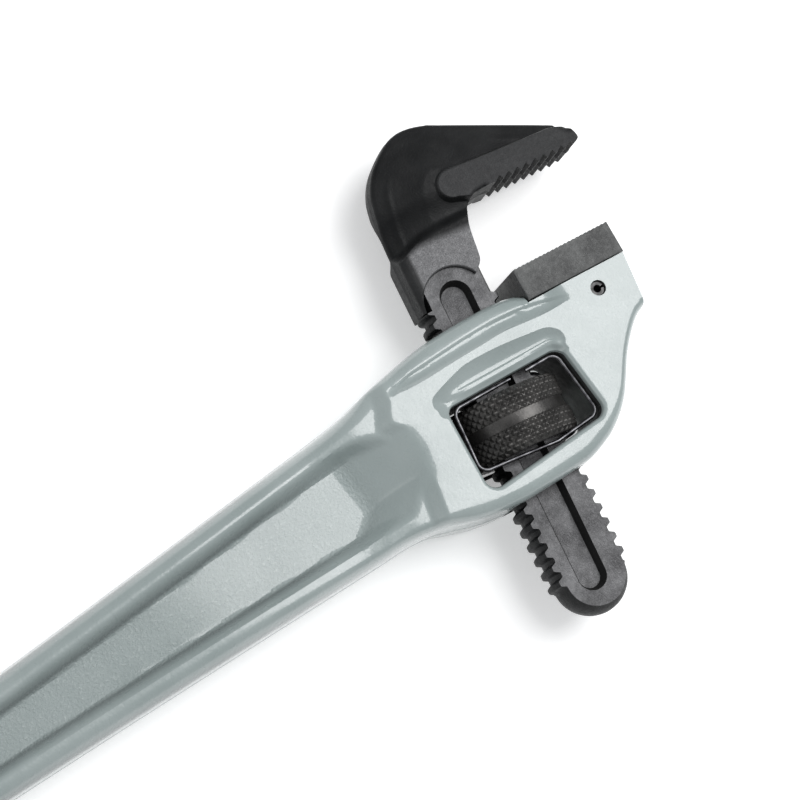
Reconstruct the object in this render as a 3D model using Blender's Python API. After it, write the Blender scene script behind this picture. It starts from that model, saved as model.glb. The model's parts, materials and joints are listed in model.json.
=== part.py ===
"""Offset (end) pipe wrench, nominal 350 mm size.

The wrench lies flat on its side.  All shape sizes below are in millimetres in the
design frame: origin at the centre of the adjusting nut, +X along the handle towards
the head, +Y towards the hook jaw, +Z up.  Meshes are scaled to metres when made.

Jaw frame (the hook jaw and the nut): the design frame turned about Z so that its
+Y runs along the threaded shank, from the nut to the hook.
Heel frame (the heel jaw): turned about Z so that its +X runs along the heel face.
"""
from math import asin, cos, hypot, pi, radians, sin, sqrt, tan

import bmesh
import bpy
import numpy as np
from mathutils import Vector

MM = 0.001

# ---- driving dimensions (millimetres and degrees) ----------------------------------
LENGTH = 350.0            # handle end to the machined end of the head
HEAD_END_X = 56.0         # head end, measured from the nut centre
SHANK_TURN = -10.0        # jaw frame about Z
HEEL_TURN = -6.0          # heel frame about Z
CLEARANCE = 0.4           # running clearance between neighbouring pieces

THREAD_PITCH = 4.7625     # 3/16 inch, single start, right hand
THREAD_TIP = 13.0         # thread crest radius
THREAD_ROOT = 11.5        # thread root radius
THREAD_TOP = 43.0         # jaw-frame Y where the thread runs out under the hook
SHANK_HALF = 6.5          # half the thickness across the flats
SHANK_END = -51.4         # jaw-frame Y of the centre of the round shank end

NUT_RADIUS = 17.5
NUT_HALF = 9.3            # half the nut length
NUT_CHAMFER = 1.5
THREAD_PLAY = 0.45        # radial play between nut thread and shank thread
NUT_SEGMENTS = 32

HANDLE_MID_Y = 9.0        # centre line of the handle
HANDLE_END_RADIUS = 14.5
HANG_HOLE_RADIUS = 6.0
FLANGE_CREST = 5.5        # distance of the flange crest from the outline
FLANGE_ROOT = 10.5        # distance of the foot of the flange from the outline
FLANGE_HALF = 11.0        # half the flange thickness at the head end
FLANGE_HALF_FAR = 9.0     # half the flange thickness near the hanging hole
WEB_HALF = 4.0
EDGE_HALF = 2.0           # half the height of the flat land at the parting line
BOSS_HALF = 7.5           # half the thickness round the hanging hole
BOSS_ROUND = 4.0
HEAD_HALF = 15.0          # half the head thickness
HEAD_ROUND = 4.5          # edge rounding of the head
RAMP_START = -56.0        # the web rises to the head between these two
RAMP_END = -34.0

JAW_PAD_HALF = 9.5        # half the width of the hook jaw across its teeth
NECK_HALF = 8.0           # half the thickness of the hook body and neck
HOOK_TEETH = 9
TOOTH_PITCH = 3.05
TOOTH_DEPTH = 1.3
TEETH_START = (26.0, 68.4)    # first tooth of the hook, jaw frame
TEETH_SLOPE = 4.0             # the hook teeth are parallel to the heel face

HEEL_CENTRE = (40.0, 31.0)    # origin of the heel frame, in the design frame
HEEL_HALF_LENGTH = 17.3
HEEL_BOTTOM = -5.3
HEEL_TOP = 5.1
HEEL_HALF = 13.5          # half the width of the heel jaw across its teeth
HEEL_TEETH = 11
TONGUE_HALF = 6.0
TONGUE_LEFT = -14.0
TONGUE_RIGHT = 10.0
TONGUE_BOTTOM = -16.0
PIN_PLACE = (3.4, -11.9)  # heel frame
PIN_RADIUS = 2.15
PIN_BORE = 2.45
PIN_HALF = 14.0

WIRE_RADIUS = 0.6
WIRE_LEVEL = 11.0         # height of the retaining wires above and below mid plane
WIRE_BEND = 2.4
WIRE_CORNERS = [(9.0, 10.9), (20.0, 10.1), (20.4, -11.9), (4.5, -12.0), (-9.0, -9.1),
                (-20.9, -6.8), (-16.9, 13.2), (3.5, 11.4)]

LEAF_THICKNESS = 0.8
LEAF_BACK = -14.5         # jaw-frame X of the back of the flat spring
LEAF_SPAN = (15.5, 31.0)  # jaw-frame Y of its ends
LEAF_HALF = 4.0
COIL_AT = 24.0            # jaw-frame Y of the coil spring's axis
COIL_SPAN = (-21.2, -15.3)    # jaw-frame X of its ends
COIL_RADIUS = 2.5
COIL_WIRE = 0.45
COIL_TURNS = 4

# ---- outlines of the casting, design frame -----------------------------------------
UPPER_EDGE = [(-60, 29.7), (-44.4, 30.8), (-36, 32.2), (-28.2, 33.3), (-20.7, 34.2),
              (-11.1, 34.8), (-0.1, 34.5), (10.2, 33.7), (16, 32.8), (19.6, 31.7), (22, 30.2),
              (30, 28.8), (60, 26.0)]
LOWER_EDGE = [(-60, -11.7), (-52, -11.9), (-42, -13.2), (-36, -15.3), (-27, -18.6), (-20, -20.2),
              (-11, -21.3), (8, -22.0), (18, -19.9), (25, -16.4), (30, -12.4), (34, -8.0),
              (38, -3.3), (42, 0.6), (46, 3.8), (49, 5.6), (53, 6.9), (60, 8.4)]
HANDLE_HALF_WIDTH = [(-262, 13.0), (-169, 16.0), (-60, 20.7)]
WINDOW = [(-22.8, -13.3), (21.4, -13.3), (21.0, 11.0), (-19.3, 14.4)]
WINDOW_CORNER = 3.5

# ---- outline of the hook, jaw frame (back, crown, nose, then the throat) ------------
HOOK_BACK = [(-12.6, 40.7), (-12.6, 58.6), (-12.2, 70.0), (-11.5, 76.6), (-9.9, 82.3),
             (-6.3, 87.8), (-0.2, 93.0), (4.5, 95.2), (9.5, 95.6), (14.8, 94.6), (18.6, 93.0)]
HOOK_NOSE = [(50.9, 80.1), (53.7, 78.5), (55.4, 75.8), (56.1, 72.2), (53.6, 70.4)]
HOOK_THROAT = [(22.0, 68.2), (18.1, 67.4), (15.9, 66.4), (14.1, 64.0), (12.8, 60.1),
               (12.1, 56.0), (11.9, 52.7), (11.9, 40.7)]
ARCH_CENTRE = (-1.1, 40.7)
ARCH_RADIUS = 10.4

scene = bpy.context.scene


# ---- small modelling helpers --------------------------------------------------------
def clear_scene():
    for item in list(bpy.data.objects):
        bpy.data.objects.remove(item, do_unlink=True)


def material(name, colour, metallic, roughness):
    made = bpy.data.materials.new(name)
    made.use_nodes = True
    shader = made.node_tree.nodes["Principled BSDF"]
    shader.inputs["Base Color"].default_value = (*colour, 1.0)
    shader.inputs["Metallic"].default_value = metallic
    shader.inputs["Roughness"].default_value = roughness
    return made


def frame_empty(name, location, turn, parent=None):
    empty = bpy.data.objects.new(name, None)
    empty.location = Vector(location) * MM
    empty.rotation_euler.z = radians(turn)
    empty.parent = parent
    scene.collection.objects.link(empty)
    return empty


def make_object(name, bm, parent, look=None):
    """Scale a bmesh drawn in millimetres to metres and put it in the scene."""
    bmesh.ops.scale(bm, vec=(MM, MM, MM), verts=bm.verts)
    bmesh.ops.recalc_face_normals(bm, faces=bm.faces)
    mesh = bpy.data.meshes.new(name)
    bm.to_mesh(mesh)
    bm.free()
    made = bpy.data.objects.new(name, mesh)
    made.parent = parent
    scene.collection.objects.link(made)
    if look is not None:
        mesh.materials.append(look)
        mesh.shade_smooth()
        mesh.set_sharp_from_angle(angle=radians(35))
    return made


def combine(target, tool, operation):
    tool.hide_render = True
    tool.display_type = "WIRE"
    step = target.modifiers.new(tool.name, "BOOLEAN")
    step.operation = operation
    step.object = tool
    step.solver = "EXACT"


def prism(points, low, high):
    bm = bmesh.new()
    base = bm.faces.new([bm.verts.new((x, y, low)) for x, y in points])
    top = bmesh.ops.extrude_face_region(bm, geom=[base])
    risen = [item for item in top["geom"] if isinstance(item, bmesh.types.BMVert)]
    bmesh.ops.translate(bm, vec=(0, 0, high - low), verts=risen)
    return bm


def loft(rings):
    """Close a solid through rings of points; the first and last ring are capped."""
    bm = bmesh.new()
    made = [[bm.verts.new(point) for point in ring] for ring in rings]
    for lower, upper in zip(made, made[1:]):
        for i in range(len(lower)):
            j = (i + 1) % len(lower)
            bm.faces.new((lower[i], lower[j], upper[j], upper[i]))
    bm.faces.new(made[0][::-1])
    bm.faces.new(made[-1])
    return bm


def cylinder(centre, direction, radius, depth, segments=24):
    bm = bmesh.new()
    bmesh.ops.create_cone(bm, cap_ends=True, segments=segments, radius1=radius,
                          radius2=radius, depth=depth)
    turn = Vector((0, 0, 1)).rotation_difference(Vector(direction))
    bmesh.ops.rotate(bm, cent=(0, 0, 0), matrix=turn.to_matrix(), verts=bm.verts)
    bmesh.ops.translate(bm, vec=centre, verts=bm.verts)
    return bm


def tube(name, points, radius, closed, parent, look, sides=6):
    """A wire through points, swept with a ring that stays square to the path."""
    count = len(points)
    path = [Vector(point) for point in points]
    bm = bmesh.new()
    rings = []
    side = None
    for i, point in enumerate(path):
        ahead = path[(i + 1) % count] if closed or i + 1 < count else point
        behind = path[i - 1] if closed or i > 0 else point
        along = (ahead - behind).normalized()
        if side is None:
            side = along.orthogonal().normalized()
        side = (side - along * side.dot(along)).normalized()
        up = along.cross(side)
        rings.append([bm.verts.new(point + radius * (side * cos(a) + up * sin(a)))
                      for a in (2 * pi * k / sides for k in range(sides))])
    spans = list(zip(rings, rings[1:]))
    if closed:
        spans.append((rings[-1], rings[0]))
    else:
        bm.faces.new(rings[0][::-1])
        bm.faces.new(rings[-1])
    for lower, upper in spans:
        for k in range(sides):
            j = (k + 1) % sides
            bm.faces.new((lower[k], lower[j], upper[j], upper[k]))
    return make_object(name, bm, parent, look)


def rounded_polygon(corners, radius, steps=4):
    """Corners of a convex polygon replaced by arcs."""
    points = []
    count = len(corners)
    for i in range(count):
        corner = Vector(corners[i])
        before = (Vector(corners[i - 1]) - corner).normalized()
        after = (Vector(corners[(i + 1) % count]) - corner).normalized()
        half = before.angle(after) / 2
        centre = corner + (before + after).normalized() * (radius / sin(half))
        start = corner + before * (radius / tan(half)) - centre
        end = corner + after * (radius / tan(half)) - centre
        for k in range(steps + 1):
            mix = start.lerp(end, k / steps).normalized() * radius
            points.append(tuple(centre + mix))
    return points


def smooth_step(value):
    value = min(max(value, 0.0), 1.0)
    return value * value * (3 - 2 * value)


def smooth_line(points, x):
    """Height at x of a smooth curve through points that does not overshoot them."""
    xs = [p[0] for p in points]
    ys = [p[1] for p in points]
    slopes = [(ys[i + 1] - ys[i]) / (xs[i + 1] - xs[i]) for i in range(len(xs) - 1)]
    ends = [slopes[0]]
    for left, right in zip(slopes, slopes[1:]):
        ends.append(0.0 if left * right <= 0 else 2 * left * right / (left + right))
    ends.append(slopes[-1])
    i = min(max(int(np.searchsorted(xs, x)) - 1, 0), len(xs) - 2)
    width = xs[i + 1] - xs[i]
    t = (x - xs[i]) / width
    return ((2 * t**3 - 3 * t**2 + 1) * ys[i] + (t**3 - 2 * t**2 + t) * width * ends[i]
            + (3 * t**2 - 2 * t**3) * ys[i + 1] + (t**3 - t**2) * width * ends[i + 1])


# ---- handle and housing casting -------------------------------------------------------
HANDLE_END_X = HEAD_END_X - LENGTH
END_CENTRE_X = HANDLE_END_X + HANDLE_END_RADIUS


def handle_half_width(x):
    if x < END_CENTRE_X:
        return sqrt(max(HANDLE_END_RADIUS**2 - (END_CENTRE_X - x)**2, 0.0))
    slim = smooth_line(HANDLE_HALF_WIDTH, max(x, HANDLE_HALF_WIDTH[0][0]))
    swell = 1 - smooth_step((x - END_CENTRE_X) / (HANDLE_HALF_WIDTH[0][0] - END_CENTRE_X))
    return slim + (HANDLE_END_RADIUS - slim) * swell


def casting_edges(x):
    """Lower and upper outline of the casting at x."""
    if x <= UPPER_EDGE[0][0]:
        half = handle_half_width(x)
        return HANDLE_MID_Y - half, HANDLE_MID_Y + half
    return smooth_line(LOWER_EDGE, x), smooth_line(UPPER_EDGE, x)


def rounded_rise(edge, land, height, reach):
    """Height over a rounded edge: `land` at the outline, `height` from `reach` inwards."""
    inward = min(edge / reach, 1.0)
    return land + (height - land) * sqrt(1 - (1 - inward)**2)


def casting_half(x, y, low, high):
    """Half thickness of the casting at a point of its outline."""
    edge = min(y - low, high - y)
    if x < END_CENTRE_X:
        edge = min(edge, HANDLE_END_RADIUS - hypot(x - END_CENTRE_X, y - HANDLE_MID_Y))
    edge = max(edge, 0.0)
    along = (x - END_CENTRE_X) / (RAMP_START - END_CENTRE_X)
    crest = FLANGE_HALF_FAR + (FLANGE_HALF - FLANGE_HALF_FAR) * min(max(along, 0.0), 1.0)
    fall = smooth_step((edge - FLANGE_CREST) / (FLANGE_ROOT - FLANGE_CREST))
    beam = rounded_rise(edge, EDGE_HALF, crest, FLANGE_CREST)
    beam += (WEB_HALF - crest) * fall
    boss = rounded_rise(edge, BOSS_HALF - BOSS_ROUND, BOSS_HALF, BOSS_ROUND)
    head = rounded_rise(edge, HEAD_HALF - HEAD_ROUND, HEAD_HALF, HEAD_ROUND)
    far = 1 - smooth_step((x - END_CENTRE_X - HANDLE_END_RADIUS) / HANDLE_END_RADIUS)
    near = smooth_step((x - RAMP_START) / (RAMP_END - RAMP_START))
    half = beam + (boss - beam) * far
    return half + (head - half) * near


def station_list():
    end = [END_CENTRE_X - HANDLE_END_RADIUS * cos(radians(a)) for a in (6, 30, 50, 70, 90)]
    handle = [-270, -262, -254, -244, -210, -170, -130, -95, -70, -60]
    ramp = list(range(-56, -30, 4))
    head = [-26, -20, -13, -6, 2, 8, 12, 15, 18, 22] + list(range(26, 61, 4)) + [60]
    return end + handle + ramp + head


def casting_mesh():
    insets = (0.0, 1.2, 3.0, FLANGE_CREST, 8.0, FLANGE_ROOT)
    top_rows, bottom_rows = [], []
    bm = bmesh.new()
    for x in station_list():
        low, high = casting_edges(x)
        shrink = min(1.0, 0.42 * (high - low) / FLANGE_ROOT)
        inner = np.linspace(low + shrink * FLANGE_ROOT, high - shrink * FLANGE_ROOT, 5)[1:-1]
        ys = [low + shrink * e for e in insets] + list(inner)
        ys += [high - shrink * e for e in reversed(insets)]
        halves = [casting_half(x, y, low, high) for y in ys]
        top_rows.append([bm.verts.new((x, y, h)) for y, h in zip(ys, halves)])
        bottom_rows.append([bm.verts.new((x, y, -h)) for y, h in zip(ys, halves)])
    for rows, flip in ((top_rows, False), (bottom_rows, True)):
        for first, second in zip(rows, rows[1:]):
            for k in range(len(first) - 1):
                quad = (first[k], second[k], second[k + 1], first[k + 1])
                bm.faces.new(quad[::-1] if flip else quad)
    for k in (0, -1):
        for i in range(len(top_rows) - 1):
            quad = (top_rows[i][k], bottom_rows[i][k], bottom_rows[i + 1][k], top_rows[i + 1][k])
            bm.faces.new(quad)
    for i in (0, -1):
        for k in range(len(top_rows[0]) - 1):
            quad = (top_rows[i][k], top_rows[i][k + 1], bottom_rows[i][k + 1], bottom_rows[i][k])
            bm.faces.new(quad)
    return bm


def box_points(left, right, low, high):
    return [(left, low), (right, low), (right, high), (left, high)]


def make_casting(root, jaw, heel, paint):
    casting = make_object("handle_casting", casting_mesh(), root, paint)
    depth = HEAD_HALF + 3
    window = prism(rounded_polygon(WINDOW, WINDOW_CORNER), -depth, depth)
    seat = prism(box_points(-18.8, 30, HEEL_BOTTOM - CLEARANCE, 12), -depth, depth)
    end_face = prism([(51.5, 6.3), (50.4, 1.5), (80, 1.5), (80, 40), (59.3, 40)], -depth, depth)
    slot = prism(box_points(-13.6, 13.6, -40, 50), -NECK_HALF - 0.5, NECK_HALF + 0.5)
    tongue_slot = prism(box_points(TONGUE_LEFT - CLEARANCE, TONGUE_RIGHT + CLEARANCE,
                                   TONGUE_BOTTOM - CLEARANCE, 12),
                        -TONGUE_HALF - CLEARANCE, TONGUE_HALF + CLEARANCE)
    pin_bore = cylinder((*PIN_PLACE, 0), (0, 0, 1), PIN_BORE, 2 * depth)
    hang_hole = cylinder((END_CENTRE_X, HANDLE_MID_Y, 0), (0, 0, 1), HANG_HOLE_RADIUS, 2 * depth)
    leaf_seat = prism(box_points(LEAF_BACK - 0.6, -13, LEAF_SPAN[0] - 0.6, LEAF_SPAN[1] + 0.6),
                      -LEAF_HALF - 0.5, LEAF_HALF + 0.5)
    coil_length = -13 - COIL_SPAN[0] + CLEARANCE
    coil_seat = cylinder((-13 - coil_length / 2, COIL_AT, 0), (1, 0, 0),
                         COIL_RADIUS + COIL_WIRE + CLEARANCE, coil_length)
    for name, bm, parent in (("cut_window", window, root), ("cut_end_face", end_face, root),
                             ("cut_heel_seat", seat, heel), ("cut_shank_slot", slot, jaw),
                             ("cut_tongue_slot", tongue_slot, heel), ("cut_pin", pin_bore, heel),
                             ("cut_hanging_hole", hang_hole, root),
                             ("cut_leaf_seat", leaf_seat, jaw), ("cut_coil_seat", coil_seat, jaw)):
        combine(casting, make_object(name, bm, parent), "DIFFERENCE")
    return casting


# ---- hook jaw ----------------------------------------------------------------------------
def thread_radius(along, angle, tip, root):
    """Radius of a right-hand thread at a place along the axis; angle runs from X to Z."""
    phase = 2 * pi * along / THREAD_PITCH + angle
    wave = min(max(1.3 * cos(phase), -1.0), 1.0)
    return root + (tip - root) * (0.5 + 0.5 * wave)


def shank_reach(along, z):
    """Half widths of the shank on its two sides at height z: threads over a round end."""
    sides = []
    lift = asin(z / THREAD_TIP)
    for angle in (lift, pi - lift):
        radius = THREAD_ROOT
        if along < THREAD_TOP - THREAD_PITCH / 2:
            radius = thread_radius(along, angle, THREAD_TIP, THREAD_ROOT)
        drop = min(along - SHANK_END, 0.0)
        dome = sqrt(max(THREAD_ROOT**2 - drop**2, SHANK_HALF**2 + 0.3))
        if drop < 0:
            radius = min(radius, dome)
        sides.append(sqrt(max(radius**2 - z**2, 0.25)))
    return sides


def shank_mesh():
    levels = [SHANK_HALF * k / 2 for k in (-2, -1, 0, 1, 2)]
    step = THREAD_PITCH / 6
    bottom = SHANK_END - sqrt(THREAD_ROOT**2 - SHANK_HALF**2)
    stations = list(np.arange(bottom + 0.2, THREAD_TOP + 12, step))
    rings = []
    for along in stations:
        reach = [shank_reach(along, z) for z in levels]
        right = [(reach[k][0], along, levels[k]) for k in range(len(levels))]
        left = [(-reach[k][1], along, levels[k]) for k in range(len(levels))]
        rings.append(right + left[::-1])
    return loft(rings)


def hook_teeth():
    """Saw-tooth edge of the hook jaw, from the nose back to the throat."""
    rise = tan(radians(TEETH_SLOPE))
    points = []
    for k in reversed(range(HOOK_TEETH)):
        start = TEETH_START[0] + k * TOOTH_PITCH
        for offset, depth in ((TOOTH_PITCH, 0.0), (0.8, TOOTH_DEPTH)):
            x = start + offset
            base = TEETH_START[1] + TOOTH_DEPTH + rise * (x - TEETH_START[0])
            points.append((x, base - depth))
    return points


def make_hook(jaw, steel):
    hook = make_object("hook_jaw", shank_mesh(), jaw, steel)
    arch = [(ARCH_CENTRE[0] + ARCH_RADIUS * cos(a), ARCH_CENTRE[1] + ARCH_RADIUS * sin(a))
            for a in (radians(15 * k) for k in range(0, 13))]
    outline = HOOK_THROAT + arch + HOOK_BACK + HOOK_NOSE + [(TEETH_START[0], 70.5)]
    body = make_object("hook_body", prism(outline, -NECK_HALF, NECK_HALF), jaw)
    soften = body.modifiers.new("edge", "BEVEL")
    soften.width = 1.0 * MM
    soften.segments = 1
    soften.limit_method = "ANGLE"
    soften.angle_limit = radians(60)
    pad_end = [(13.0 + 4.7 * cos(a), 73.8 + 4.7 * sin(a))
               for a in (radians(270 - 30 * k) for k in range(0, 7))]
    pad = hook_teeth() + pad_end + [(49.5, 78.6), (53.7, 78.0), (55.3, 75.4), (55.8, 72.2)]
    pad_tool = make_object("hook_pad", prism(pad, -JAW_PAD_HALF, JAW_PAD_HALF), jaw)
    combine(hook, body, "UNION")
    combine(hook, pad_tool, "UNION")
    pocket_end = [(-1.0 + 4.6 * cos(a), 42.4 + 4.6 * sin(a))
                  for a in (radians(30 * k) for k in range(0, 7))]
    pocket_foot = [(-1.0 + 4.0 * cos(a), -51.8 + 4.0 * sin(a))
                   for a in (radians(180 + 30 * k) for k in range(0, 7))]
    for name, low, high in (("cut_pocket_top", SHANK_HALF - 3, SHANK_HALF + 0.5),
                            ("cut_pocket_under", -SHANK_HALF - 0.5, 3 - SHANK_HALF)):
        pocket = make_object(name, prism(pocket_end + pocket_foot, low, high), jaw)
        combine(hook, pocket, "DIFFERENCE")
    return hook


# ---- heel jaw and its pin -------------------------------------------------------------------
def make_heel(heel, steel, pin_steel):
    pitch = 2 * HEEL_HALF_LENGTH / HEEL_TEETH
    teeth = []
    for k in reversed(range(HEEL_TEETH)):
        left = -HEEL_HALF_LENGTH + k * pitch
        teeth += [(left + pitch, HEEL_TOP - 1.0), (left + pitch - 0.7, HEEL_TOP)]
    outline = teeth + [(-HEEL_HALF_LENGTH, HEEL_TOP - 1.0), (-HEEL_HALF_LENGTH, HEEL_BOTTOM),
                       (HEEL_HALF_LENGTH, HEEL_BOTTOM)]
    block = make_object("heel_jaw", prism(outline, -HEEL_HALF, HEEL_HALF), heel, steel)
    tongue = box_points(TONGUE_LEFT, TONGUE_RIGHT, TONGUE_BOTTOM, 0)
    combine(block, make_object("heel_tongue", prism(tongue, -TONGUE_HALF, TONGUE_HALF), heel),
            "UNION")
    bore = cylinder((*PIN_PLACE, 0), (0, 0, 1), PIN_BORE, 4 * PIN_HALF)
    combine(block, make_object("cut_heel_bore", bore, heel), "DIFFERENCE")

    pin = make_object("heel_jaw_pin", cylinder((*PIN_PLACE, 0), (0, 0, 1), PIN_RADIUS,
                                               2 * PIN_HALF), heel, pin_steel)
    core = cylinder((*PIN_PLACE, 0), (0, 0, 1), 0.55 * PIN_RADIUS, 2 * PIN_HALF + 2, 16)
    split = prism(box_points(PIN_PLACE[0], PIN_PLACE[0] + 3, PIN_PLACE[1] - 0.4,
                             PIN_PLACE[1] + 0.4), -PIN_HALF - 1, PIN_HALF + 1)
    combine(pin, make_object("cut_pin_core", core, heel), "DIFFERENCE")
    combine(pin, make_object("cut_pin_split", split, heel), "DIFFERENCE")


# ---- adjusting nut ----------------------------------------------------------------------------
def make_nut(jaw, steel):
    """A ring with an inner thread; its origin is on the shank axis."""
    outer = [(-NUT_HALF, NUT_RADIUS - NUT_CHAMFER), (NUT_CHAMFER - NUT_HALF, NUT_RADIUS),
             (-1.8, NUT_RADIUS), (-1.6, NUT_RADIUS - 0.6), (1.6, NUT_RADIUS - 0.6),
             (1.8, NUT_RADIUS), (NUT_HALF - NUT_CHAMFER, NUT_RADIUS),
             (NUT_HALF, NUT_RADIUS - NUT_CHAMFER)]
    steps = 24
    inner = [NUT_HALF - 2 * NUT_HALF * k / steps for k in range(steps + 1)]
    bm = bmesh.new()
    columns = []
    for k in range(NUT_SEGMENTS):
        angle = 2 * pi * k / NUT_SEGMENTS
        column = [(radius, along) for along, radius in outer]
        for along in inner:
            column.append((thread_radius(along, angle, THREAD_TIP + THREAD_PLAY,
                                         THREAD_ROOT + THREAD_PLAY), along))
        columns.append([bm.verts.new((r * cos(angle), along, r * sin(angle)))
                        for r, along in column])
    for k, column in enumerate(columns):
        following = columns[(k + 1) % NUT_SEGMENTS]
        for i in range(len(column)):
            j = (i + 1) % len(column)
            bm.faces.new((column[i], column[j], following[j], following[i]))
    return make_object("adjusting_nut", bm, jaw, steel)


# ---- retaining wires and springs -----------------------------------------------------------------
def wire_points(level):
    """Open loop round the nut; its two ends stop short of each other on the hook side."""
    inside = rounded_polygon(WIRE_CORNERS[1:7], WIRE_BEND, 3)
    route = [WIRE_CORNERS[0]] + inside + [WIRE_CORNERS[7]]
    return [(x, y, level) for x, y in route]


def make_wires_and_springs(root, jaw, bright, spring_steel):
    for name, level in (("nut_wire_front", WIRE_LEVEL), ("nut_wire_back", -WIRE_LEVEL)):
        tube(name, wire_points(level), WIRE_RADIUS, False, root, bright)
    leaf = prism(box_points(LEAF_BACK, LEAF_BACK + LEAF_THICKNESS, *LEAF_SPAN),
                 -LEAF_HALF, LEAF_HALF)
    make_object("flat_spring", leaf, jaw, spring_steel)
    steps = 12 * COIL_TURNS
    length = COIL_SPAN[1] - COIL_SPAN[0] - 2 * COIL_WIRE
    coil = [(COIL_SPAN[0] + COIL_WIRE + length * k / steps,
             COIL_AT + COIL_RADIUS * cos(2 * pi * k / 12), COIL_RADIUS * sin(2 * pi * k / 12))
            for k in range(steps + 1)]
    tube("coil_spring", coil, COIL_WIRE, False, jaw, spring_steel)


def stand_on_floor(root):
    """Move everything so that the origin is under the middle of the whole wrench."""
    bpy.context.view_layer.update()
    graph = bpy.context.evaluated_depsgraph_get()
    corners = []
    for item in scene.objects:
        if item.type == "MESH" and item.display_type != "WIRE":
            ready = item.evaluated_get(graph)
            corners += [item.matrix_world @ vertex.co for vertex in ready.data.vertices]
    low = [min(corner[i] for corner in corners) for i in range(3)]
    high = [max(corner[i] for corner in corners) for i in range(3)]
    root.location = (-(low[0] + high[0]) / 2, -(low[1] + high[1]) / 2, -low[2])


def main():
    clear_scene()
    paint = material("grey_enamel", (0.52, 0.56, 0.53), 0.1, 0.42)
    steel = material("black_oxide_steel", (0.045, 0.043, 0.042), 0.7, 0.42)
    pin_steel = material("spring_pin_steel", (0.12, 0.12, 0.12), 0.9, 0.35)
    bright = material("bright_wire", (0.55, 0.56, 0.57), 1.0, 0.3)
    spring_steel = material("spring_steel", (0.2, 0.2, 0.21), 1.0, 0.4)

    root = frame_empty("wrench", (0, 0, 0), 0)
    jaw = frame_empty("jaw_axis", (0, 0, 0), SHANK_TURN, root)
    heel = frame_empty("heel_seat", (*HEEL_CENTRE, 0), HEEL_TURN, root)
    make_casting(root, jaw, heel, paint)
    make_hook(jaw, steel)
    make_heel(heel, steel, pin_steel)
    make_nut(jaw, steel)
    make_wires_and_springs(root, jaw, bright, spring_steel)
    stand_on_floor(root)


main()
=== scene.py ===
"""Offset pipe wrench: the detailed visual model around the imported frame.

Shapes are drawn in millimetres in three frames: the design frame, with its origin at
the centre of the adjusting nut and +X along the handle; the jaw frame, turned so that
+Y runs along the threaded shank; and the heel frame, along the heel jaw's face.
"""
import json
from math import atan2, cos, pi, radians, sin, tan

import bmesh
import bpy
import numpy as np
from mathutils import Matrix, Vector
from mathutils.geometry import delaunay_2d_cdt
from mathutils.kdtree import KDTree


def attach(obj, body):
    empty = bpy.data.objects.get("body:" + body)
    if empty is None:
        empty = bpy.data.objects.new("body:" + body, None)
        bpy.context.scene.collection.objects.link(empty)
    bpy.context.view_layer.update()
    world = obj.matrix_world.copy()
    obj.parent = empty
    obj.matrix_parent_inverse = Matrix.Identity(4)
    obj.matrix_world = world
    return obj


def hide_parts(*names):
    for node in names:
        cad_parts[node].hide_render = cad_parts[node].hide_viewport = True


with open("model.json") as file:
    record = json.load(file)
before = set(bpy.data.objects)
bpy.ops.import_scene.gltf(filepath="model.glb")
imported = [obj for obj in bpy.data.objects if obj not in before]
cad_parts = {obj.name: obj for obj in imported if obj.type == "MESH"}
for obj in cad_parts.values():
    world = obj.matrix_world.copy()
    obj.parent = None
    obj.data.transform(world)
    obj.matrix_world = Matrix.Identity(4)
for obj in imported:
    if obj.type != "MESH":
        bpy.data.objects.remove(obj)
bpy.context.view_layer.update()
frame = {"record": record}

# ---- frames --------------------------------------------------------------------------
MM = 0.001
JOINTS = {joint["name"]: joint for joint in frame["record"]["behaviour"]["joints"]}
NUT_AXIS = JOINTS["nut_spin"]["axis"]
NUT_CENTRE = Vector(JOINTS["nut_spin"]["pos_m"])
HEEL_CENTRE = (40.0, 31.0)
HEEL_TURN = -6.0

SCALE = Matrix.Scale(MM, 4)
DESIGN = Matrix.Translation(NUT_CENTRE) @ SCALE
JAW = DESIGN @ Matrix.Rotation(atan2(NUT_AXIS[0], -NUT_AXIS[1]), 4, "Z")
HEEL = DESIGN @ Matrix.Translation((*HEEL_CENTRE, 0)) @ Matrix.Rotation(radians(HEEL_TURN), 4, "Z")

# ---- sizes of the casting (millimetres) ----------------------------------------------
HANDLE_END_X = -294.0
HANDLE_END_RADIUS = 14.5
END_CENTRE = (HANDLE_END_X + HANDLE_END_RADIUS, 9.0)
HANG_HOLE_RADIUS = 6.0
FLANGE_HALF = 11.0
FLANGE_HALF_FAR = 9.0
FLANGE_LAND = 1.0         # half thickness of the flange at the outline
FLANGE_SWELL = 1.5        # growth of the flange towards the head
SWELL_START = -66.0
LAND_START = -56.0
SWELL_RUN = 26.0
CREST_RUN = 4.5           # length over which the flange rises to the head
TOP_CREST_OUT = 5.5       # distance of the upper flange's crest from the outline
WALL_WIDTH = 4.8
WEB_HALF = 4.0
BOSS_HALF = 7.5
BOSS_ROUND = 4.0
HEAD_HALF = 15.0
HEAD_LAND = 10.3          # half thickness of the head at its outline
RIM_ROUND = 1.6
UPPER_EDGE = [(-60, 29.7), (-44.4, 30.8), (-36, 32.2), (-28.2, 33.3), (-20.7, 34.2), (-11.1, 34.8),
              (-0.1, 34.5), (10.2, 33.7), (16, 32.8), (19.6, 31.7), (22, 30.2)]
LOWER_EDGE = [(-60, -11.7), (-52, -11.9), (-42, -13.2), (-36, -15.3), (-27, -18.6), (-20, -20.2),
              (-11, -21.3), (8, -22.0), (18, -19.9), (25, -16.4), (30, -12.4), (34, -8.0),
              (38, -3.3), (42, 0.6), (46, 3.8), (49, 5.6), (51.6, 6.5)]
HANDLE_HALF_WIDTH = [(-262, 13.0), (-169, 16.0), (-60, 20.7)]
END_FACE_TOP = (55.5, 23.65)
SEAT_LEFT = (21.7, 27.2)
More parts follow.
